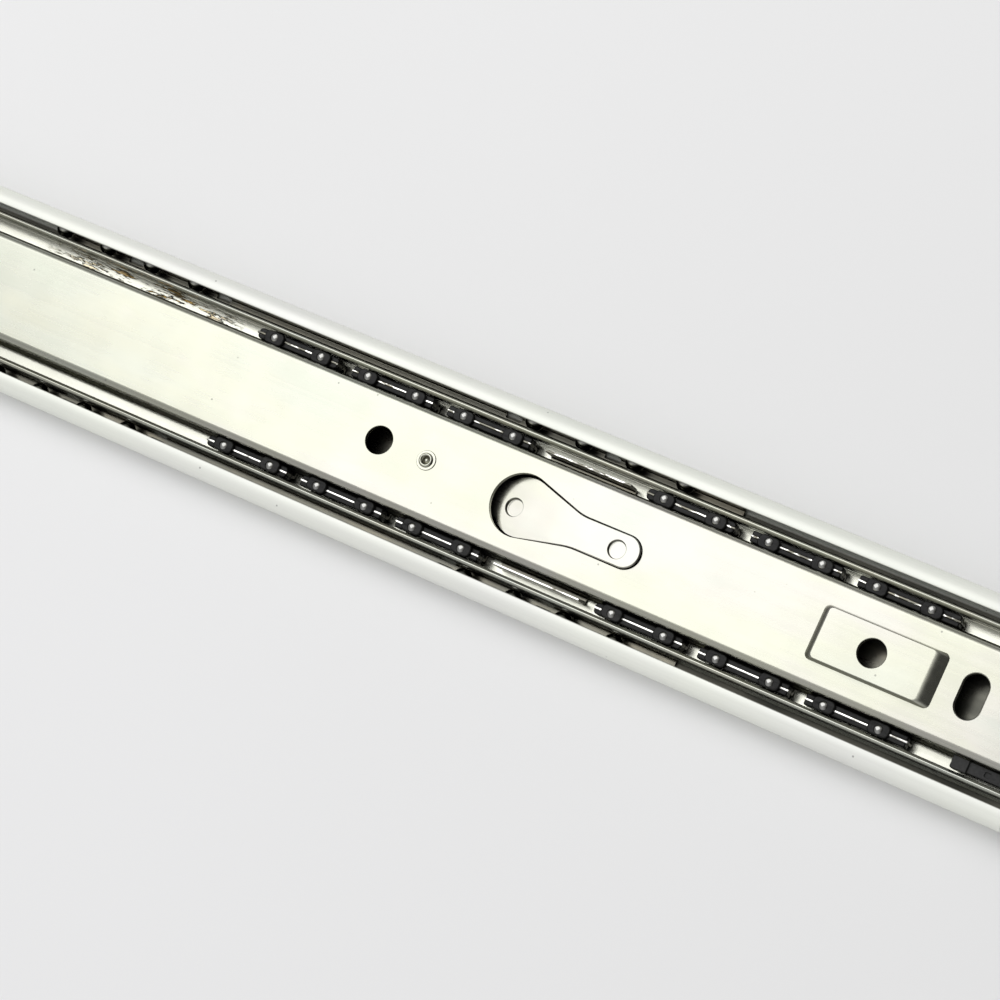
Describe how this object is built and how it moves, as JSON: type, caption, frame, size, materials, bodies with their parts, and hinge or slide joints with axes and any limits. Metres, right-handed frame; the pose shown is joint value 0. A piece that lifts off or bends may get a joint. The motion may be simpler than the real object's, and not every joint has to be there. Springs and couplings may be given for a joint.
{
  "type": "ball-bearing drawer slide",
  "caption": "Full-extension ball-bearing drawer slide: nested zinc-plated steel channels running on caged balls, with a sprung release latch, stored partly drawn.",
  "frame": {"origin": "middle of the outer member's flat back face, the face that lies on the cabinet side", "axes": "+X along the slide, the way the drawer pulls out; +Y across the slide; +Z from the cabinet side to the drawer"},
  "size_m": [0.57, 0.0456, 0.0145],
  "materials": {
    "zinc_steel": "bright zinc-plated rolled steel",
    "cage_steel": "zinc-plated strip with a film of grease",
    "ball_steel": "polished bearing steel",
    "black_nylon": "moulded black nylon",
    "spring_steel": "zinc-plated spring steel"
  },
  "bodies": {
    "outer": {"outer_member": "zinc_steel", "outer_rear_bumper": "black_nylon"},
    "outer_cage": {"outer_ball_retainer": "cage_steel", "outer_ball_near_1": "ball_steel", "outer_ball_near_2": "ball_steel", "outer_ball_near_3": "ball_steel", "outer_ball_near_4": "ball_steel", "outer_ball_near_5": "ball_steel", "outer_ball_near_6": "ball_steel", "outer_ball_near_7": "ball_steel", "outer_ball_near_8": "ball_steel", "outer_ball_far_1": "ball_steel", "outer_ball_far_2": "ball_steel", "outer_ball_far_3": "ball_steel", "outer_ball_far_4": "ball_steel", "outer_ball_far_5": "ball_steel", "outer_ball_far_6": "ball_steel", "outer_ball_far_7": "ball_steel", "outer_ball_far_8": "ball_steel"},
    "intermediate": {"intermediate_member": "zinc_steel", "intermediate_rear_bumper": "black_nylon"},
    "inner_cage": {"inner_ball_retainer": "cage_steel", "inner_ball_near_1": "ball_steel", "inner_ball_near_2": "ball_steel", "inner_ball_near_3": "ball_steel", "inner_ball_near_4": "ball_steel", "inner_ball_near_5": "ball_steel", "inner_ball_near_6": "ball_steel", "inner_ball_near_7": "ball_steel", "inner_ball_near_8": "ball_steel", "inner_ball_near_9": "ball_steel", "inner_ball_near_10": "ball_steel", "inner_ball_near_11": "ball_steel", "inner_ball_near_12": "ball_steel", "inner_ball_far_1": "ball_steel", "inner_ball_far_2": "ball_steel", "inner_ball_far_3": "ball_steel", "inner_ball_far_4": "ball_steel", "inner_ball_far_5": "ball_steel", "inner_ball_far_6": "ball_steel", "inner_ball_far_7": "ball_steel", "inner_ball_far_8": "ball_steel", "inner_ball_far_9": "ball_steel", "inner_ball_far_10": "ball_steel", "inner_ball_far_11": "ball_steel", "inner_ball_far_12": "ball_steel"},
    "inner": {"inner_member": "zinc_steel", "cage_stop_near": "black_nylon", "cage_stop_far": "black_nylon", "latch_rivet": "spring_steel"},
    "latch": {"release_latch": "spring_steel"}
  },
  "joints": [
    {"name": "intermediate_slide", "type": "slide", "parent": "outer", "child": "intermediate", "axis": [1, 0, 0], "range_m": [-0.108, 0.117]},
    {"name": "outer_cage_slide", "type": "slide", "parent": "outer", "child": "outer_cage", "axis": [1, 0, 0], "range_m": [-0.054, 0.0585]},
    {"name": "inner_slide", "type": "slide", "parent": "intermediate", "child": "inner", "axis": [1, 0, 0], "range_m": [-0.012, 0.213]},
    {"name": "inner_cage_slide", "type": "slide", "parent": "intermediate", "child": "inner_cage", "axis": [1, 0, 0], "range_m": [-0.006, 0.1065]},
    {"name": "latch_press", "type": "hinge", "parent": "inner", "child": "latch", "pos_m": [0.0775, 0, 0.0099], "axis": [0, 1, 0], "range_deg": [0, 2], "stiffness_Nm_per_rad": 0.3, "springref_deg": -1.72}
  ],
  "couplings": [
    {"joint": "outer_cage_slide", "follows": "intermediate_slide", "ratio": 0.5},
    {"joint": "inner_cage_slide", "follows": "inner_slide", "ratio": 0.5}
  ]
}
